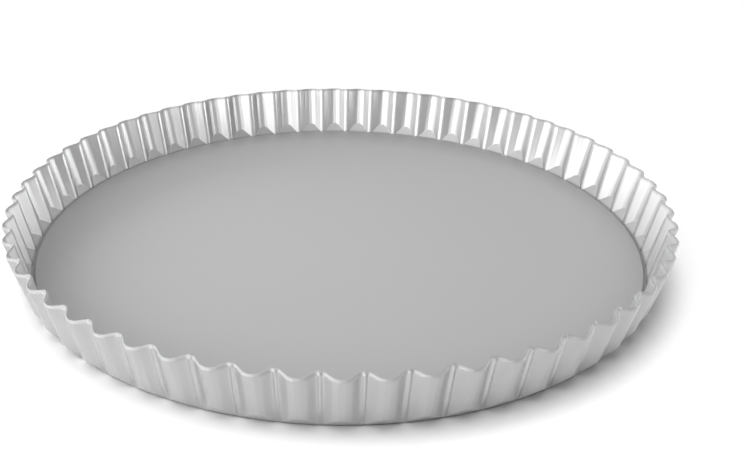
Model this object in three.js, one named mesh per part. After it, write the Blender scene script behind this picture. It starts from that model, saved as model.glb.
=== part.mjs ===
// Tart pan with a removable bottom: a fluted sheet-metal ring and the flat base that lies in it.
// Millimetres, +Z up. The origin is on the pan's axis, on the surface that the pan stands on.

import * as THREE from "three";

// Loose base
const baseRadius = 138.5;
const baseThickness = 0.8;
const baseSides = 124;

// Ring: sheet, height and lean
const sheet = 0.9;
const baseClearance = 1.2;
const flangeWidth = 9.0;
const wallHeight = 26.0;
const wallLean = 11.4 * Math.PI / 180;

// Ring: flutes, measured on the middle of the sheet
const fluteCount = 62;
const rimFluteDepth = 4.3;
const footFluteDepth = 2.7;
const rimDrop = 0.95;
const lobeRadius = 4.9;
const foldRadius = 1.8;

// Ring: the ramp that closes the foot of each flute
const rampHeight = 5.0;

// Finish
const metalColour = 0xbdbec0;
const wallRoughness = 0.28;
const baseRoughness = 0.42;

// Sizes that follow from the ones above
const halfSheet = sheet / 2;
const flangeTop = sheet;
const wallSlope = Math.tan(wallLean);
const seatRadius = baseRadius + baseClearance;
const flangeInnerRadius = seatRadius - flangeWidth;
const foldFootRadius = seatRadius - flangeTop * wallSlope + halfSheet / Math.cos(wallLean);
const fluteAngle = 2 * Math.PI / fluteCount;

// Outline of one flute from fold to lobe, seen from above: a small arc round the fold, a straight flank and
// a large arc round the lobe, each tangent to the next. Each point has its place along the pitch (0 at a
// fold, 1 at the next) and its share of the flute's depth (0 at a fold, 1 at a lobe).
function flutePoints() {
  const rimRadius = foldFootRadius + wallHeight * wallSlope;
  const halfPitch = rimRadius * fluteAngle / 2;
  const arcs = lobeRadius + foldRadius;
  const reach = Math.hypot(arcs - rimFluteDepth, halfPitch);
  const flank = Math.atan2(halfPitch, arcs - rimFluteDepth) - Math.acos(arcs / reach);
  const half = [
    [0, 0],
    [foldRadius * Math.sin(flank), foldRadius * (1 - Math.cos(flank))],
    [halfPitch - lobeRadius * Math.sin(flank), rimFluteDepth - lobeRadius * (1 - Math.cos(flank))],
    [halfPitch - lobeRadius * Math.sin(flank / 2), rimFluteDepth - lobeRadius * (1 - Math.cos(flank / 2))],
  ].map(([along, out]) => ({ place: along / (2 * halfPitch), share: out / rimFluteDepth }));
  const otherHalf = half.slice(1).reverse().map(({ place, share }) => ({ place: 1 - place, share }));
  return [...half, { place: 0.5, share: 1 }, ...otherHalf];
}

// Columns of points round the whole ring, with a lobe on +X.
function ringColumns() {
  const points = flutePoints();
  const columns = [];
  for (let flute = 0; flute < fluteCount; flute += 1) {
    for (const { place, share } of points) {
      columns.push({ angle: (flute + place - 0.5) * fluteAngle, share });
    }
  }
  return columns;
}

// Middle of the sheet on a column, at a height and a distance outside the line of the folds.
function wallPoint({ angle }, height, outward) {
  const radius = foldFootRadius + height * wallSlope + outward;
  return new THREE.Vector3(radius * Math.cos(angle), radius * Math.sin(angle), height);
}

// Depth of a flute at a height, from the foot's to the rim's in a straight line.
function fluteDepth(height) {
  return footFluteDepth + (rimFluteDepth - footFluteDepth) * height / wallHeight;
}

// Height at which the ramp, which climbs outward from the foot, meets the flute's own wall.
function rampTop(share) {
  const rampRate = fluteDepth(rampHeight) / (rampHeight - halfSheet);
  const wallRate = share * (rimFluteDepth - footFluteDepth) / wallHeight;
  const meeting = (share * footFluteDepth + rampRate * halfSheet) / (rampRate - wallRate);
  return Math.max(meeting, flangeTop);
}

// Height of the rim: it stands highest at the folds and dips to the lobes.
function rimHeight(share) {
  return wallHeight - rimDrop * share;
}

// Unit normal of the sheet, towards the inside of the pan, from its two directions.
function insideNormal(around, upward) {
  return new THREE.Vector3().crossVectors(upward, around).normalize();
}

// Shift that keeps half a sheet's thickness on both sides of a bend between two normals.
function bendShift(first, second) {
  const middle = first.clone().add(second);
  return middle.multiplyScalar(halfSheet / (middle.lengthSq() / 2));
}

// The ring's section at each column is one bent strip: flange, ramp and wall. The strip's middle is laid out
// first, and each face lies half a sheet's thickness to its side. The rows run once round the section.
function fluted_ring() {
  const columns = ringColumns();
  const count = columns.length;
  const onWall = (column, height) => wallPoint(column, height, column.share * fluteDepth(height));
  const foot = columns.map((column) => wallPoint(column, halfSheet, 0));
  const ramp = columns.map((column) => onWall(column, rampTop(column.share)));
  const rim = columns.map((column) => onWall(column, rimHeight(column.share)));
  const around = (row, i) => row[(i + 1) % count].clone().sub(row[(i + count - 1) % count]);

  const up = new THREE.Vector3(0, 0, 1);
  const rows = Array.from({ length: 8 }, () => []);
  columns.forEach(({ angle }, i) => {
    const flangeEdge = new THREE.Vector3(Math.cos(angle), Math.sin(angle), 0).multiplyScalar(flangeInnerRadius);
    const rampRise = ramp[i].clone().sub(foot[i]);
    const wallRise = rim[i].clone().sub(ramp[i]);
    const footShift = bendShift(up, insideNormal(around(foot, i), rampRise));
    const rampShift = bendShift(insideNormal(around(ramp, i), rampRise), insideNormal(around(ramp, i), wallRise));
    const rimShift = insideNormal(around(rim, i), wallRise).multiplyScalar(halfSheet);
    rows[0].push(flangeEdge);
    rows[1].push(foot[i].clone().sub(footShift));
    rows[2].push(ramp[i].clone().sub(rampShift));
    rows[3].push(rim[i].clone().sub(rimShift));
    rows[4].push(rim[i].clone().add(rimShift));
    rows[5].push(ramp[i].clone().add(rampShift));
    rows[6].push(foot[i].clone().add(footShift));
    rows[7].push(flangeEdge.clone().setZ(flangeTop));
  });
  return closedRing(rows);
}

// Closed surface over rows of points that run round the ring, joined row to row and last to first.
function closedRing(rows) {
  const count = rows[0].length;
  const positions = rows.flat().flatMap((point) => point.toArray());
  const index = [];
  rows.forEach((row, r) => {
    const here = r * count;
    const next = ((r + 1) % rows.length) * count;
    row.forEach((_, i) => {
      const j = (i + 1) % count;
      index.push(here + i, here + j, next + j, here + i, next + j, next + i);
    });
  });
  const geometry = new THREE.BufferGeometry();
  geometry.setAttribute("position", new THREE.Float32BufferAttribute(positions, 3));
  geometry.setIndex(index);
  geometry.computeVertexNormals();
  return geometry;
}

// Flat round sheet that lies on the flange.
function loose_base() {
  const outline = [
    new THREE.Vector2(0, 0),
    new THREE.Vector2(baseRadius, 0),
    new THREE.Vector2(baseRadius, baseThickness),
    new THREE.Vector2(0, baseThickness),
  ];
  return new THREE.LatheGeometry(outline, baseSides).rotateX(Math.PI / 2);
}

function metal(roughness) {
  return new THREE.MeshStandardMaterial({ color: metalColour, metalness: 1, roughness });
}

const ring = new THREE.Mesh(fluted_ring(), metal(wallRoughness));
ring.name = "fluted_ring";

const base = new THREE.Mesh(loose_base(), metal(baseRoughness));
base.name = "loose_base";
base.position.z = flangeTop;

const tartPan = new THREE.Group();
tartPan.add(ring, base);

export default tartPan;
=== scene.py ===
"""Tart pan with a removable bottom: a fluted satin ring, its loose base and a plain white studio.

Laid out as an add-on and run as a script. Lengths are metres, +Z is up, and the origin is on the pan's axis,
on the surface that it stands on.
"""
import math

import bpy
import numpy as np
from bpy.props import FloatProperty, FloatVectorProperty, IntProperty, PointerProperty
from mathutils import Matrix, Vector


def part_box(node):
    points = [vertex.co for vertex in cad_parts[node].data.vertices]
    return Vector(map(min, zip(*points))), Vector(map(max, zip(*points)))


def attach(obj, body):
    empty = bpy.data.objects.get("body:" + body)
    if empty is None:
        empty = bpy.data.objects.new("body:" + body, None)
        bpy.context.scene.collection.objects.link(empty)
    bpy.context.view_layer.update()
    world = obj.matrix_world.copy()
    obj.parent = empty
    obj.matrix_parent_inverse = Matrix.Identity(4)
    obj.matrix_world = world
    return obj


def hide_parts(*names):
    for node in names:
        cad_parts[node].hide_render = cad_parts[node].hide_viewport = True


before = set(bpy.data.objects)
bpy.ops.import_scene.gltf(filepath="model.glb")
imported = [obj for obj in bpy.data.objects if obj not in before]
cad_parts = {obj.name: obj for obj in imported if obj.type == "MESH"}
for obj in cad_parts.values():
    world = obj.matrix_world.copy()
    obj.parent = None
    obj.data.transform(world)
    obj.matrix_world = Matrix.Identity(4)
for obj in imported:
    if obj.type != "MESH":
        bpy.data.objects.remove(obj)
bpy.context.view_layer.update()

bl_info = {
    "name": "Fluted tart pan",
    "version": (1, 0, 0),
    "blender": (4, 5, 0),
    "location": "3D View > Sidebar > Tart pan",
    "description": "Builds a fluted tart pan with a loose base, and a white studio round it",
    "category": "Add Mesh",
}

BASE_LOW, BASE_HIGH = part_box("loose_base")
FRAME_WIDTH = 744
MM = 0.001

# Points across one flute, and faint ripples on it
FOLD_POINTS = 5
FLANK_POINTS = 4
LOBE_POINTS = 7
RIPPLES = 7

# Rows of the ring's section: places along its straight runs, and rows in its bends and round its edges
FLANGE_PLACES = (0, 0.5, 0.95)
RAMP_PLACES = (0.15, 0.85)
WALL_PLACES = (0.02, 0.3, 0.65, 0.95, 1)
FOOT_BEND_ROWS = 4
RAMP_BEND_ROWS = 5
RIM_ROWS = 7
FLANGE_EDGE_ROWS = 3

# Bends: largest share of a straight run that one may take, and the least rise of the foot's on a fold
BEND_SHARE = 0.45
FOLD_BEND_RISE = 0.8

# Grid of the base: points round its edge, points in a quarter of its softened edge, and inner rings
BASE_SIDES = 372
BASE_EDGE_POINTS = 5
BASE_RINGS = (0.35, 0.7, 0.9)

# Patterns in the metal, in waves to the metre
DRAWING_LINES = 2600
RING_CLOUDS = 45
RING_GRAIN = 4200
ROLLING_LINES = 2400
BASE_CLOUDS = 14
BASE_GRAIN = 5200

# Stretch of the drawing lines along the flutes and of the rolling lines along X
DRAWING_STRETCH = (1.0, 0.02, 1.0)
ROLLING_STRETCH = (0.03, 1.0, 1.0)

# Relief of the patterns: strength and height
RING_BUMP = 0.12
RING_RELIEF = 0.04 * MM
BASE_BUMP = 0.1
BASE_RELIEF = 0.03 * MM

# Darkest and lightest shares of the colours, the ring's lightest being a highlight painted on its folds, and
# how sharply the folds' polish and painted highlight keep to the folds
RING_SHADES = (0.936, 1.14)
BASE_SHADES = (0.97, 1.03)
FOLD_POLISH_HIGHLIGHT_POWER = 6

# How far the roughness strays, how much smoother the folds are and how much rougher the cut rim is
RING_STRAY = 0.06
BASE_STRAY = 0.05
FOLD_POLISH = 0.07
RIM_WEAR = 0.35

# Shade painted in the slot beside the base: depth in which the colour darkens, and half the width over which
# that starts
SLOT_SHADE_DEPTH = 0.5 * MM
SLOT_SHADE_START = 0.3 * MM

# Sky: rises in degrees between which it fades, turn of its dimmer side, and cosines of the angle from the
# middle of that side between which it dims
SKY_FADE = (12, 36)
DIM_TURN = 290
DIM_FADE = (0.5, 0.9)

# Floor's half width, its gap under the pan, and the lamps' distance from the pan's axis, in metres
FLOOR_HALF = 6.0
FLOOR_GAP = 0.2 * MM
LAMP_REACH = 1.3

# Camera: width of its film in millimetres and nearest distance that it sees
FILM_WIDTH = 36.0
NEAR_CLIP = 0.01

# Bright cards round the pan: turn from +X and rise over the floor in degrees, size in metres and brightness
CARDS = (
    ("back_card", 74, 48, (1.4, 0.7), 1.1),
    ("back_left_card", 134, 14, (1.1, 0.55), 2.9),
    ("left_card", 187, 20, (0.9, 0.95), 3.4),
    ("front_left_card", 228, 20, (0.95, 0.95), 4.4),
    ("front_card", 268, 32, (0.85, 0.5), 5.4),
    ("front_right_card", 318, 30, (0.9, 0.5), 1.4),
    ("right_card", 12, 7, (1.6, 0.32), 5.2),
)


class TARTPAN_PG_ring(bpy.types.PropertyGroup):
    """Sizes of the fluted ring, measured on the middle of its sheet unless a name says otherwise."""

    flute_count: IntProperty(name="Flutes", description="Flutes round the ring", default=62, min=8)
    sheet: FloatProperty(
        name="Sheet", description="Thickness of the ring's sheet", default=0.9 * MM, unit="LENGTH")
    clearance: FloatProperty(
        name="Clearance", description="Gap between the base and the foot of the folds", default=1.2 * MM,
        unit="LENGTH")
    flange_width: FloatProperty(
        name="Flange", description="Width of the flange under the base", default=9.0 * MM, unit="LENGTH")
    wall_height: FloatProperty(
        name="Wall height", description="Height of the rim at the folds", default=26.0 * MM, unit="LENGTH")
    wall_lean: FloatProperty(
        name="Wall lean", description="Outward lean of the folds", default=math.radians(11.4),
        subtype="ANGLE")
    rim_depth: FloatProperty(
        name="Rim depth", description="Depth of a flute at the rim", default=4.3 * MM, unit="LENGTH")
    foot_depth: FloatProperty(
        name="Foot depth", description="Depth of a flute carried down to the foot", default=2.7 * MM,
        unit="LENGTH")
    rim_drop: FloatProperty(
        name="Rim drop", description="How far the rim dips at a lobe", default=0.95 * MM, unit="LENGTH")
    lobe_radius: FloatProperty(
        name="Lobe radius", description="Radius of a flute's outer bend", default=4.9 * MM, unit="LENGTH")
    fold_radius: FloatProperty(
        name="Fold radius", description="Radius of a flute's inner bend", default=1.8 * MM, unit="LENGTH")
    ramp_height: FloatProperty(
        name="Ramp height", description="Height of the ramp that closes a flute's foot", default=5.0 * MM,
        unit="LENGTH")
    ramp_ease: FloatProperty(
        name="Ramp ease", description="Reach of the bend between ramp and wall", default=0.35 * MM,
        unit="LENGTH")
    foot_ease: FloatProperty(
        name="Foot ease", description="Reach of the bend between flange and wall", default=0.5 * MM,
        unit="LENGTH")
    edge_round: FloatProperty(
        name="Edge round", description="How far the flange's edge is rounded off", default=0.22 * MM,
        unit="LENGTH")
    rim_round: FloatProperty(
        name="Rim round", description="How far the rim's edge is rounded off", default=0.6 * MM,
        unit="LENGTH")
    rim_roll: FloatProperty(
        name="Rim roll", description="How much more the rim is rounded outside than inside", default=0.7,
        min=0, max=1, subtype="FACTOR")
    bead_height: FloatProperty(
        name="Bead height", description="How far the pinched sheet stands out behind a fold",
        default=1.15 * MM, unit="LENGTH")
    bead_reach: FloatProperty(
        name="Bead reach", description="Half of the bead's width", default=1.8 * MM, unit="LENGTH")
    press_ripple: FloatProperty(
        name="Press ripple", description="Height of the faint upright ripples left by pressing",
        default=0.06 * MM, unit="LENGTH")
    colour: FloatVectorProperty(
        name="Colour", description="Colour of the ring's metal", subtype="COLOR", default=(0.48, 0.48, 0.483))
    roughness: FloatProperty(
        name="Roughness", description="Roughness of the ring's satin finish", default=0.39, min=0, max=1,
        subtype="FACTOR")
    foot_roughness: FloatProperty(
        name="Foot roughness", description="Roughness of the pressed foot of the flutes", default=0.65,
        min=0, max=1, subtype="FACTOR")
    # Painted shade: share of the ring's colour left in the slot beside the base, where it is darkened
    slot_painted_shade: FloatProperty(
        name="Slot", description="Share of the colour that is left in the slot beside the base", default=0.75,
        min=0, max=1, subtype="FACTOR")
    drawn: FloatProperty(
        name="Drawn", description="How far the finish spreads light up and down more than sideways",
        default=0.6, min=0, max=1, subtype="FACTOR")


class TARTPAN_PG_base(bpy.types.PropertyGroup):
    """Sizes and finish of the loose base."""

    radius: FloatProperty(
        name="Radius", description="Radius of the base", default=float(BASE_HIGH[0] - BASE_LOW[0]) / 2,
        unit="LENGTH")
    thickness: FloatProperty(
        name="Thickness", description="Thickness of the base", default=float(BASE_HIGH[2] - BASE_LOW[2]),
        unit="LENGTH")
    seat: FloatProperty(
        name="Seat", description="Height of the base's underside", default=float(BASE_LOW[2]), unit="LENGTH")
    edge_round: FloatProperty(
        name="Edge round", description="Radius of the base's softened edge", default=0.3 * MM, unit="LENGTH")
    colour: FloatVectorProperty(
        name="Colour", description="Colour of the base's metal", subtype="COLOR", default=(0.48, 0.48, 0.484))
    roughness: FloatProperty(
        name="Roughness", description="Roughness of the base's matte finish", default=0.7, min=0, max=1,
        subtype="FACTOR")


class TARTPAN_PG_stage(bpy.types.PropertyGroup):
    """Camera, floor and light of the studio."""

    camera_reach: FloatProperty(
        name="Camera reach", description="Level distance from the pan's axis to the camera", default=0.3971,
        unit="LENGTH")
    camera_height: FloatProperty(
        name="Camera height", description="Height of the camera over the floor", default=0.2036,
        unit="LENGTH")
    camera_turn: FloatProperty(
        name="Camera turn", description="Turn of the camera round the pan's axis", default=math.radians(2.05),
        subtype="ANGLE")
    camera_pan: FloatProperty(
        name="Camera pan", description="Turn of the view to the left of the pan's axis",
        default=math.radians(1.71), subtype="ANGLE")
    camera_tilt: FloatProperty(
        name="Camera tilt", description="How far the view points down", default=math.radians(26.67),
        subtype="ANGLE")
    camera_roll: FloatProperty(
        name="Camera roll", description="Turn of the picture", default=math.radians(-0.26), subtype="ANGLE")
    lens: FloatProperty(name="Lens", description="Focal length in millimetres", default=45.46)
    shift_pixels: FloatProperty(
        name="Frame shift", description="Pixels that the frame is moved to the right", default=60.0)
    sky_low: FloatProperty(
        name="Low sky", description="Brightness that the metal mirrors near the horizon", default=1.2)
    sky_top: FloatProperty(
        name="High sky", description="Brightness that the metal mirrors overhead", default=0.45)
    sky_dim: FloatProperty(
        name="Camera side", description="Share of the brightness on the side of the camera", default=0.42,
        min=0, max=1, subtype="FACTOR")
    card_level: FloatProperty(name="Cards", description="Share of the cards' brightness", default=1.0)
    floor_top: FloatProperty(name="Top light", description="Light on the floor from overhead", default=0.7)
    floor_side: FloatProperty(name="Side light", description="Light on the floor from the left", default=0.34)
    floor_colour: FloatVectorProperty(
        name="Floor", description="Colour of the floor", subtype="COLOR", default=(0.97, 0.97, 0.97))


def rounded_corner(before, corner, after, reach, count):
    """Corner of a path, rounded by a parabola that leaves the two legs at most reach from the corner."""

    def leg(towards):
        away = towards - corner
        length = np.linalg.norm(away, axis=-1, keepdims=True)
        return corner + away * np.minimum(reach / length, BEND_SHARE)

    t = np.linspace(0, 1, count)[:, None]
    first, middle, last = leg(before)[:, None], corner[:, None], leg(after)[:, None]
    return (1 - t) ** 2 * first + 2 * t * (1 - t) * middle + t ** 2 * last


def straight_rows(first, last, places):
    """Points on the straight line between two others, at shares of its length."""
    places = np.asarray(places)[:, None]
    return first[:, None] * (1 - places) + last[:, None] * places


def flute_outline(ring):
    """One flute seen from above, from fold to fold: place along the pitch (0 to 1) and share of the depth.

    A small arc round the fold, a straight flank and a large arc round the lobe, each tangent to the next. The
    flank's angle solves (arcs - depth) cos(angle) + half_pitch sin(angle) = arcs, where arcs is the sum of
    the two radii.
    """
    half_pitch = fold_radius_at(ring, ring.wall_height) * math.pi / ring.flute_count
    arcs = ring.lobe_radius + ring.fold_radius
    rise = arcs - ring.rim_depth
    flank = math.atan2(half_pitch, rise) - math.acos(arcs / math.hypot(rise, half_pitch))
    fold_turn = np.linspace(0, flank, FOLD_POINTS)
    lobe_turn = np.linspace(flank, 0, LOBE_POINTS)
    fold_along = ring.fold_radius * np.sin(fold_turn)
    fold_out = ring.fold_radius * (1 - np.cos(fold_turn))
    lobe_along = half_pitch - ring.lobe_radius * np.sin(lobe_turn)
    lobe_out = ring.rim_depth - ring.lobe_radius * (1 - np.cos(lobe_turn))
    flank_along = np.linspace(fold_along[-1], lobe_along[0], FLANK_POINTS + 2)[1:-1]
    flank_out = np.linspace(fold_out[-1], lobe_out[0], FLANK_POINTS + 2)[1:-1]
    along = np.concatenate([fold_along, flank_along, lobe_along])
    out = np.concatenate([fold_out, flank_out, lobe_out])
    place = np.concatenate([along, 2 * half_pitch - along[-2:0:-1]]) / (2 * half_pitch)
    share = np.concatenate([out, out[-2:0:-1]]) / ring.rim_depth
    return place, share


def fold_radius_at(ring, height):
    """Radius of the sheet's middle on a fold: the base's radius and its clearance at the flange's top, and
    from there a straight line with the wall's lean."""
    base = bpy.context.scene.tart_base
    half_sheet = ring.sheet / 2
    foot = base.radius + ring.clearance + half_sheet / math.cos(ring.wall_lean)
    return foot + (height - ring.sheet) * math.tan(ring.wall_lean)


def flute_depth(ring, height):
    """Depth of a flute, from the foot's to the rim's in a straight line."""
    return ring.foot_depth + (ring.rim_depth - ring.foot_depth) * height / ring.wall_height


def ramp_top(ring, share):
    """Height at which the ramp, which climbs outward from the foot, meets the flute's own wall. On a fold,
    where the wall stands inside the ramp, it is a little over the flange."""
    half_sheet = ring.sheet / 2
    ramp_rate = flute_depth(ring, ring.ramp_height) / (ring.ramp_height - half_sheet)
    wall_rate = share * (flute_depth(ring, 1.0) - flute_depth(ring, 0.0))
    meeting = (share * ring.foot_depth + ramp_rate * half_sheet) / (ramp_rate - wall_rate)
    return np.maximum(meeting, half_sheet + FOLD_BEND_RISE * ring.foot_ease)


def ring_middle(ring):
    """Middle of the ring's sheet as a grid, columns round the ring by rows from the flange's edge to the rim.

    A column's section is a bent line: level along the flange, up the ramp, then straight up the wall to the
    rim, which dips from each fold to the lobes. The bends are rounded. With the grid come each column's place
    and share of the depth, and for each row 1 on the foot, 0 on the wall and a fade on the bend between them.
    """
    place, share = flute_outline(ring)
    flutes = np.arange(ring.flute_count)
    angle = ((flutes[:, None] + place - 0.5) * (2 * np.pi / ring.flute_count)).ravel()
    place = np.tile(place, ring.flute_count)
    share = np.tile(share, ring.flute_count)
    half_sheet = ring.sheet / 2
    ripple = ring.press_ripple * (np.cos(2 * np.pi * RIPPLES * place) - 1) * share

    def wall_point(height):
        outward = share * flute_depth(ring, height) + ripple
        return np.stack([fold_radius_at(ring, height) + outward, height], axis=1)

    inner_edge = bpy.context.scene.tart_base.radius + ring.clearance - ring.flange_width + ring.edge_round
    level = np.full_like(share, half_sheet)
    edge = np.stack([np.full_like(share, inner_edge), level], axis=1)
    foot = np.stack([fold_radius_at(ring, level), level], axis=1)
    ramp = wall_point(ramp_top(ring, share))
    dip = ring.rim_drop * share
    rim = wall_point(ring.wall_height - ring.rim_round - dip)

    foot_bend = rounded_corner(edge, foot, ramp, ring.foot_ease, FOOT_BEND_ROWS)
    ramp_bend = rounded_corner(foot, ramp, rim, ring.ramp_ease, RAMP_BEND_ROWS)
    section = np.concatenate([
        straight_rows(edge, foot_bend[:, 0], FLANGE_PLACES), foot_bend,
        straight_rows(foot_bend[:, -1], ramp_bend[:, 0], RAMP_PLACES), ramp_bend,
        straight_rows(ramp_bend[:, -1], rim, WALL_PLACES)], axis=1)
    radius, height = section[:, :, 0], section[:, :, 1]
    points = np.stack([radius * np.cos(angle)[:, None], radius * np.sin(angle)[:, None], height], axis=2)
    below_bend = len(FLANGE_PLACES) + FOOT_BEND_ROWS + len(RAMP_PLACES)
    foot_rows = np.concatenate([
        np.ones(below_bend), np.linspace(1, 0, RAMP_BEND_ROWS), np.zeros(len(WALL_PLACES))])
    return points, place, share, foot_rows


def fold_bead(ring, place, height):
    """How far the sheet's outer face stands out over its plain thickness: a rounded bead of pinched sheet
    behind each fold, a squared cosine across its width, which runs out at the foot."""
    pitch = 2 * math.pi * fold_radius_at(ring, ring.wall_height) / ring.flute_count
    aside = np.minimum(place, 1 - place) * pitch / ring.bead_reach
    crest = ring.bead_height * np.cos(np.pi / 2 * np.minimum(aside, 1)) ** 2
    return crest[:, None] * np.clip((height - ring.sheet) / (2 * ring.sheet), 0, 1)


def sheet_directions(points):
    """Unit normals of a grid towards the pan's inside, and unit directions along its columns."""
    around = np.roll(points, -1, axis=0) - np.roll(points, 1, axis=0)
    along = np.gradient(points, axis=1)
    normal = np.cross(along, around)
    normal /= np.linalg.norm(normal, axis=2, keepdims=True)
    return normal, along / np.linalg.norm(along, axis=2, keepdims=True)


def sheet_section(points, place, ring):
    """Closed section round a sheet: its outer face, the rounded rim, its inner face and the rounded flange
    edge. The flange's edge is half an ellipse. The rim's is one that leans inward, as a trimmed edge does."""
    normal, along = sheet_directions(points)
    half_sheet = ring.sheet / 2
    outward = points * (1, 1, 0)
    outward /= np.linalg.norm(outward, axis=2, keepdims=True)
    bead = fold_bead(ring, place, points[:, :, 2])[:, :, None] * outward
    outer = points - half_sheet * normal + bead
    inner = points + half_sheet * normal

    def edge(row, side, reach, roll, steps):
        turn = np.linspace(-np.pi / 2, np.pi / 2, steps + 2)[1:-1, None]
        lift = np.cos(turn) * (1 + roll * np.sin(turn))
        across = half_sheet * np.sin(turn) * normal[:, None, row]
        lifted = points[:, None, row] + side * (across + reach * lift / lift.max() * along[:, None, row])
        return lifted + (1 - side * np.sin(turn)) / 2 * bead[:, None, row]

    rim = edge(-1, 1, ring.rim_round, ring.rim_roll, RIM_ROWS)
    flange_edge = edge(0, -1, ring.edge_round, 0, FLANGE_EDGE_ROWS)
    return np.concatenate([outer, rim, inner[:, ::-1], flange_edge], axis=1)


def grid_faces(columns, rows, bands):
    """Quads of a grid whose columns close round the axis, and each corner's column and row, not wrapped. The
    bands lie between neighbouring rows: one less than the rows, or as many where the last meets the first."""
    column, row = np.meshgrid(np.arange(columns), np.arange(bands), indexing="ij")
    corner_column = np.stack([column, column + 1, column + 1, column], axis=2).reshape(-1, 4)
    corner_row = np.stack([row, row, row + 1, row + 1], axis=2).reshape(-1, 4)
    quads = (corner_column % columns) * rows + corner_row % rows
    return quads, corner_column, corner_row


def smooth_mesh(name, vertices, *face_arrays):
    """New mesh object at the origin with smooth shading, from an array of points and arrays of faces."""
    mesh = bpy.data.meshes.new(name)
    mesh.vertices.add(len(vertices))
    mesh.vertices.foreach_set("co", np.asarray(vertices, dtype=np.float32).ravel())
    corners = np.concatenate([faces.ravel() for faces in face_arrays])
    sizes = np.concatenate([np.full(len(faces), faces.shape[1]) for faces in face_arrays])
    mesh.loops.add(len(corners))
    mesh.loops.foreach_set("vertex_index", corners.astype(np.int32))
    mesh.polygons.add(len(sizes))
    mesh.polygons.foreach_set("loop_start", (np.cumsum(sizes) - sizes).astype(np.int32))
    mesh.polygons.foreach_set("use_smooth", np.ones(len(sizes), dtype=bool))
    mesh.update(calc_edges=True)
    mesh.validate()
    piece = bpy.data.objects.new(name, mesh)
    bpy.context.scene.collection.objects.link(piece)
    return piece


def set_uv(mesh, u, v):
    """UV map from one pair of numbers per face corner."""
    layer = mesh.uv_layers.new(name="UVMap")
    layer.data.foreach_set("uv", np.stack([u, v], axis=-1).astype(np.float32).ravel())


def set_attribute(mesh, name, values):
    """Named number on each vertex, for the finish."""
    attribute = mesh.attributes.new(name, "FLOAT", "POINT")
    attribute.data.foreach_set("value", np.asarray(values, dtype=np.float32).ravel())


class NodeBench:
    """Adds shader nodes to one tree and links them, so that a finish reads as a short list."""

    def __init__(self, tree):
        self.tree = tree
        tree.nodes.clear()

    def add(self, kind, inputs=None, **settings):
        """New node with its settings, and inputs that are values or other nodes' outputs."""
        node = self.tree.nodes.new(kind)
        for name, value in settings.items():
            setattr(node, name, value)
        for key, value in (inputs or {}).items():
            if isinstance(value, bpy.types.NodeSocket):
                self.tree.links.new(value, node.inputs[key])
            else:
                node.inputs[key].default_value = value
        return node

    def sum(self, first, second):
        return self.add("ShaderNodeMath", {0: first, 1: second}, operation="ADD").outputs[0]

    def product(self, first, second):
        return self.add("ShaderNodeMath", {0: first, 1: second}, operation="MULTIPLY").outputs[0]

    def spread(self, value, low, high, start=0.0, end=1.0, interpolation="LINEAR"):
        """A number that goes from low to high while the value goes from start to end."""
        inputs = {"Value": value, "From Min": start, "From Max": end, "To Min": low, "To Max": high}
        return self.add("ShaderNodeMapRange", inputs, interpolation_type=interpolation).outputs[0]

    def noise(self, vector, scale, detail=2.0, roughness=0.5):
        inputs = {"Vector": vector, "Scale": scale, "Detail": detail, "Roughness": roughness}
        return self.add("ShaderNodeTexNoise", inputs).outputs["Fac"]

    def stretched(self, vector, scale):
        return self.add("ShaderNodeMapping", {"Vector": vector, "Scale": scale}).outputs[0]

    def shade(self, colour, low, high, factor):
        """The colour between two levels of brightness, by a 0 to 1 factor."""
        dark = [channel * low for channel in colour] + [1]
        light = [channel * high for channel in colour] + [1]
        return self.mix(factor, dark, light)

    def mix(self, factor, first, second):
        """A colour between two others."""
        return self.add("ShaderNodeMix", {0: factor, 6: first, 7: second}, data_type="RGBA").outputs[2]


def new_material(name):
    material = bpy.data.materials.new(name)
    material.use_nodes = True
    return material, NodeBench(material.node_tree)


def painted_slot_shade(bench, place, foot):
    """1 in the slot between the base's edge and the ring's foot, where shade is painted into the colour, and
    0 elsewhere.
    """
    base = bpy.context.scene.tart_base
    top = base.seat + base.thickness
    height = bench.add("ShaderNodeSeparateXYZ", {0: place}).outputs["Z"]
    low = bench.spread(height, 1.0, 0.0, start=top - SLOT_SHADE_DEPTH, end=top)
    level = bench.add("ShaderNodeVectorMath", {0: place, 1: (1, 1, 0)}, operation="MULTIPLY").outputs[0]
    radius = bench.add("ShaderNodeVectorMath", {0: level}, operation="LENGTH").outputs["Value"]
    outside = bench.spread(radius, 0.0, 1.0, start=base.radius - SLOT_SHADE_START, end=base.radius + SLOT_SHADE_START)
    return bench.product(foot, bench.product(low, outside))


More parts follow.
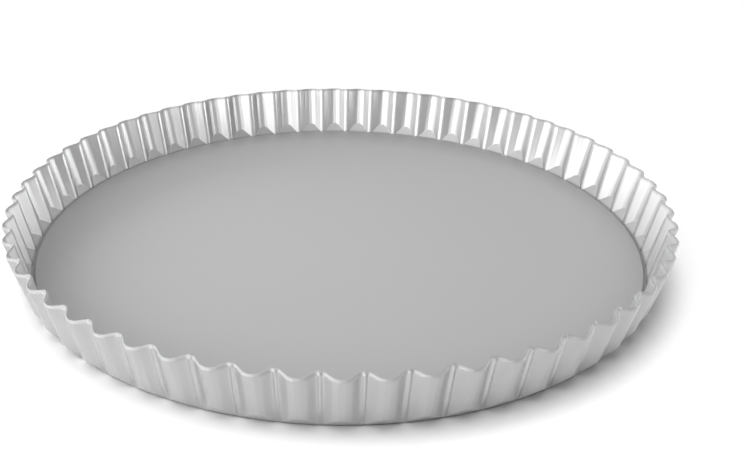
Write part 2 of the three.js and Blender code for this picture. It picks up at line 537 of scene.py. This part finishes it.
def ring_metal(ring):
    """Satin drawn sheet: upright drawing lines along the flutes, cloudy roughness, smoother folds with a
    highlight painted on them as a lighter colour, a dull rim, a matte foot and shade painted as a darker
    colour in the slot beside the base."""
    material, bench = new_material("satin_drawn_metal")
    uv = bench.add("ShaderNodeTexCoord").outputs["UV"]
    place = bench.add("ShaderNodeTexCoord").outputs["Object"]
    lines = bench.noise(bench.stretched(uv, DRAWING_STRETCH), DRAWING_LINES, detail=3.0)
    clouds = bench.noise(place, RING_CLOUDS, detail=3.0)
    grain = bench.noise(place, RING_GRAIN)
    fold_polish_and_highlight = bench.add("ShaderNodeAttribute", attribute_name="fold_polish_and_highlight").outputs["Fac"]
    cut_edge = bench.add("ShaderNodeAttribute", attribute_name="cut_edge").outputs["Fac"]
    foot = bench.add("ShaderNodeAttribute", attribute_name="foot").outputs["Fac"]
    tone = bench.sum(bench.product(lines, 0.6), bench.product(clouds, 0.4))
    worn = bench.sum(bench.product(fold_polish_and_highlight, -FOLD_POLISH), bench.product(cut_edge, RIM_WEAR))
    satin = bench.sum(bench.spread(tone, ring.roughness - RING_STRAY, ring.roughness + RING_STRAY), worn)
    height = bench.sum(bench.product(lines, 0.7), bench.product(grain, 0.3))
    bump = bench.add("ShaderNodeBump", {"Strength": RING_BUMP, "Distance": RING_RELIEF, "Height": height})
    # Lighter colour on the folds is a painted highlight; their real polish is in the roughness
    bright = bench.sum(bench.product(tone, 0.4), bench.product(fold_polish_and_highlight, 0.6))
    bright = bench.sum(bright, bench.product(cut_edge, -0.8))
    wall = bench.shade(ring.colour, *RING_SHADES, bright)
    # Painted shade: the colour darkened in the slot beside the base
    dark = [channel * ring.slot_painted_shade for channel in ring.colour] + [1]
    metal = bench.add("ShaderNodeBsdfPrincipled", {
        "Base Color": bench.mix(painted_slot_shade(bench, place, foot), wall, dark),
        "Metallic": 1.0,
        "Roughness": bench.spread(foot, satin, ring.foot_roughness),
        "Anisotropic": ring.drawn,
        "Anisotropic Rotation": 0.25,
        "Normal": bump.outputs[0],
    })
    bench.add("ShaderNodeOutputMaterial", {"Surface": metal.outputs[0]})
    return material


def base_metal(base):
    """Matte rolled sheet: fine lines along the rolling direction, soft clouds and an even grain."""
    material, bench = new_material("matte_rolled_metal")
    place = bench.add("ShaderNodeTexCoord").outputs["Object"]
    rolling = bench.noise(bench.stretched(place, ROLLING_STRETCH), ROLLING_LINES, detail=3.0)
    clouds = bench.noise(place, BASE_CLOUDS, detail=4.0)
    grain = bench.noise(place, BASE_GRAIN)
    tone = bench.sum(bench.product(rolling, 0.5), bench.product(clouds, 0.5))
    height = bench.sum(bench.product(rolling, 0.6), bench.product(grain, 0.4))
    bump = bench.add("ShaderNodeBump", {"Strength": BASE_BUMP, "Distance": BASE_RELIEF, "Height": height})
    metal = bench.add("ShaderNodeBsdfPrincipled", {
        "Base Color": bench.shade(base.colour, *BASE_SHADES, tone),
        "Metallic": 1.0,
        "Roughness": bench.spread(tone, base.roughness - BASE_STRAY, base.roughness + BASE_STRAY),
        "Normal": bump.outputs[0],
    })
    bench.add("ShaderNodeOutputMaterial", {"Surface": metal.outputs[0]})
    return material


def floor_paper(stage):
    """Plain matte paper."""
    material, bench = new_material("white_paper")
    paper = bench.add("ShaderNodeBsdfDiffuse", {"Color": (*stage.floor_colour, 1)})
    bench.add("ShaderNodeOutputMaterial", {"Surface": paper.outputs[0]})
    return material


class TARTPAN_OT_ring(bpy.types.Operator):
    """Build the fluted ring with its flange, and put it in place of the plain ring"""

    bl_idname = "tartpan.ring"
    bl_label = "Fluted ring"

    def execute(self, context):
        ring = context.scene.tart_ring
        middle, place, share, foot_rows = ring_middle(ring)
        section = sheet_section(middle, place, ring)
        columns, rows = section.shape[:2]
        quads, corner_column, corner_row = grid_faces(columns, rows, bands=rows)
        piece = smooth_mesh("fluted_ring_satin", section.reshape(-1, 3), quads)
        lengths = np.linalg.norm(np.diff(section, axis=1, append=section[:, :1]), axis=2).mean(axis=0)
        strip = np.concatenate([[0], np.cumsum(lengths)])
        turn = 2 * math.pi * fold_radius_at(ring, ring.wall_height)
        set_uv(piece.data, corner_column * (turn / columns), strip[corner_row])
        below_rim = section[:, :, 2].max(axis=1, keepdims=True) - section[:, :, 2]
        set_attribute(piece.data, "cut_edge", np.clip(2 - below_rim / ring.rim_round, 0, 1))
        # Folds: smoother, and a highlight painted on them as a lighter colour
        set_attribute(piece.data, "fold_polish_and_highlight", np.repeat((1 - share) ** FOLD_POLISH_HIGHLIGHT_POWER, rows))
        foot = np.concatenate([
            np.zeros(len(foot_rows) + RIM_ROWS), foot_rows[::-1], np.ones(FLANGE_EDGE_ROWS)])
        set_attribute(piece.data, "foot", np.tile(foot, columns))
        piece.data.materials.append(ring_metal(ring))
        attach(piece, "ring")
        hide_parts("fluted_ring")
        return {"FINISHED"}


class TARTPAN_OT_base(bpy.types.Operator):
    """Build the flat loose base with its softened edge, and put it in place of the plain one"""

    bl_idname = "tartpan.base"
    bl_label = "Loose base"

    def execute(self, context):
        base = context.scene.tart_base
        piece = smooth_mesh("loose_base_matte", *self.surface(base))
        piece.data.materials.append(base_metal(base))
        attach(piece, "base")
        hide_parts("loose_base")
        return {"FINISHED"}

    def surface(self, base):
        """A profile turned round the axis: flat underside, quarter arcs round the edge, flat top. Each end of
        the profile closes in one point on the axis. Gives the points, the quads and two fans of triangles."""
        soft = base.edge_round
        flat = base.radius - soft
        low, high = base.seat, base.seat + base.thickness
        turn = np.linspace(0, np.pi / 2, BASE_EDGE_POINTS)
        rings = np.array(BASE_RINGS) * flat
        radius = np.concatenate([rings, flat + soft * np.sin(turn), flat + soft * np.cos(turn), rings[::-1]])
        height = np.concatenate([
            np.full(len(rings), low), low + soft - soft * np.cos(turn),
            high - soft + soft * np.sin(turn), np.full(len(rings), high)])
        angle = np.linspace(0, 2 * np.pi, BASE_SIDES, endpoint=False)[:, None]
        points = np.stack([radius * np.cos(angle), radius * np.sin(angle), height + 0 * angle], axis=2)
        poles = np.array([[0, 0, low], [0, 0, high]])
        rows = len(radius)
        quads = grid_faces(BASE_SIDES, rows, bands=rows - 1)[0]
        first = np.arange(BASE_SIDES) * rows
        following = np.roll(first, -1)
        pole = np.full(BASE_SIDES, BASE_SIDES * rows)
        under = np.stack([following, first, pole], axis=1)
        over = np.stack([first + rows - 1, following + rows - 1, pole + 1], axis=1)
        return np.concatenate([points.reshape(-1, 3), poles]), quads, under, over


class TARTPAN_OT_stage(bpy.types.Operator):
    """Set up the white floor, the surroundings, the soft lights and the camera"""

    bl_idname = "tartpan.stage"
    bl_label = "White studio"

    def execute(self, context):
        stage = context.scene.tart_stage
        self.floor(stage)
        self.surroundings(context.scene, stage)
        for name, turn, rise, size, glow in CARDS:
            self.card(name, turn, rise, size, glow * stage.card_level)
        self.floor_light("floor_top_light", turn=120, rise=86, spread=40, level=stage.floor_top)
        self.floor_light("floor_side_light", turn=210, rise=56, spread=50, level=stage.floor_side)
        self.camera(context.scene, stage)
        context.scene.view_settings.view_transform = "Standard"
        return {"FINISHED"}

    def floor(self, stage):
        """Square sheet of paper, just under the pan."""
        corners = np.array([[-1, -1, 0], [1, -1, 0], [1, 1, 0], [-1, 1, 0]]) * FLOOR_HALF - (0, 0, FLOOR_GAP)
        piece = smooth_mesh("floor", corners, np.array([[0, 1, 2, 3]]))
        piece.data.materials.append(floor_paper(stage))

    def surroundings(self, scene, stage):
        """White to the camera. What shines mirrors it bright near the horizon, fading overhead, and dimmer on
        the camera's side. The floor is lit by lights of its own."""
        world = bpy.data.worlds.new("white_surroundings")
        scene.world = world
        world.use_nodes = True
        bench = NodeBench(world.node_tree)
        path = bench.add("ShaderNodeLightPath").outputs
        mirrored = bench.sum(path["Is Glossy Ray"], path["Is Transmission Ray"])
        direction = bench.add("ShaderNodeTexCoord").outputs["Generated"]
        rise = bench.add("ShaderNodeSeparateXYZ", {0: direction}).outputs["Z"]
        fade_start, fade_end = (math.sin(math.radians(degrees)) for degrees in SKY_FADE)
        sky = bench.spread(rise, stage.sky_low, stage.sky_top, fade_start, fade_end, "SMOOTHSTEP")
        dim_turn = math.radians(DIM_TURN)
        dim_side = (math.cos(dim_turn), math.sin(dim_turn), 0)
        aside = bench.add("ShaderNodeVectorMath", {0: direction, 1: dim_side}, operation="DOT_PRODUCT")
        side = bench.spread(aside.outputs["Value"], 1.0, stage.sky_dim, *DIM_FADE, "SMOOTHSTEP")
        strength = bench.sum(path["Is Camera Ray"], bench.product(mirrored, bench.product(sky, side)))
        white = bench.add("ShaderNodeBackground", {"Color": (1, 1, 1, 1), "Strength": strength})
        bench.add("ShaderNodeOutputWorld", {"Surface": white.outputs[0]})

    def lamp(self, light, turn, rise):
        """Lamp at a turn from +X and a rise over the floor in degrees, facing the pan."""
        turn, rise = math.radians(turn), math.radians(rise)
        level = math.cos(rise)
        place = LAMP_REACH * Vector((level * math.cos(turn), level * math.sin(turn), math.sin(rise)))
        lamp = bpy.data.objects.new(light.name, light)
        lamp.location = place
        lamp.rotation_euler = (-place).to_track_quat("-Z", "Y").to_euler()
        bpy.context.scene.collection.objects.link(lamp)
        return lamp

    def card(self, name, turn, rise, size, glow):
        """Bright card that the metal mirrors. Its power is its brightness times pi times its area."""
        light = bpy.data.lights.new(name, "AREA")
        light.shape = "RECTANGLE"
        light.size, light.size_y = size
        light.energy = glow * math.pi * size[0] * size[1]
        self.lamp(light, turn, rise).visible_diffuse = False

    def floor_light(self, name, turn, rise, spread, level):
        """Even light on the floor, which renders white paper at a level from 0 to 1, with shadows as soft as
        its spread in degrees."""
        light = bpy.data.lights.new(name, "SUN")
        light.angle = math.radians(spread)
        light.energy = level * math.pi / math.sin(math.radians(rise))
        self.lamp(light, turn, rise).visible_glossy = False

    def camera(self, scene, stage):
        """Camera on a circle round the pan's axis, turned towards it, then panned, tilted and rolled."""
        data = bpy.data.cameras.new("camera")
        data.lens = stage.lens
        data.sensor_width = FILM_WIDTH
        data.shift_x = stage.shift_pixels / FRAME_WIDTH
        data.clip_start = NEAR_CLIP
        camera = bpy.data.objects.new("camera", data)
        scene.collection.objects.link(camera)
        turn = Matrix.Rotation(stage.camera_turn, 4, "Z")
        place = Matrix.Translation((0, -stage.camera_reach, stage.camera_height))
        pan = Matrix.Rotation(stage.camera_pan, 4, "Z")
        tilt = Matrix.Rotation(math.pi / 2 - stage.camera_tilt, 4, "X")
        roll = Matrix.Rotation(stage.camera_roll, 4, "Z")
        camera.matrix_world = turn @ place @ pan @ tilt @ roll
        scene.camera = camera


class TARTPAN_PT_panel(bpy.types.Panel):
    """Lists the pan's sizes and the buttons that build it"""

    bl_idname = "TARTPAN_PT_panel"
    bl_label = "Tart pan"
    bl_space_type = "VIEW_3D"
    bl_region_type = "UI"
    bl_category = "Tart pan"

    def draw(self, context):
        scene = context.scene
        for group, operator in ((scene.tart_ring, "tartpan.ring"), (scene.tart_base, "tartpan.base"),
                                (scene.tart_stage, "tartpan.stage")):
            box = self.layout.box()
            for name in group.__annotations__:
                box.prop(group, name)
            box.operator(operator)


CLASSES = (
    TARTPAN_PG_ring, TARTPAN_PG_base, TARTPAN_PG_stage,
    TARTPAN_OT_ring, TARTPAN_OT_base, TARTPAN_OT_stage,
    TARTPAN_PT_panel,
)


def register():
    for item in CLASSES:
        bpy.utils.register_class(item)
    bpy.types.Scene.tart_ring = PointerProperty(type=TARTPAN_PG_ring)
    bpy.types.Scene.tart_base = PointerProperty(type=TARTPAN_PG_base)
    bpy.types.Scene.tart_stage = PointerProperty(type=TARTPAN_PG_stage)


def unregister():
    del bpy.types.Scene.tart_stage
    del bpy.types.Scene.tart_base
    del bpy.types.Scene.tart_ring
    for item in reversed(CLASSES):
        bpy.utils.unregister_class(item)


def main():
    register()
    bpy.ops.tartpan.ring()
    bpy.ops.tartpan.base()
    bpy.ops.tartpan.stage()


if __name__ == "__main__":
    main()
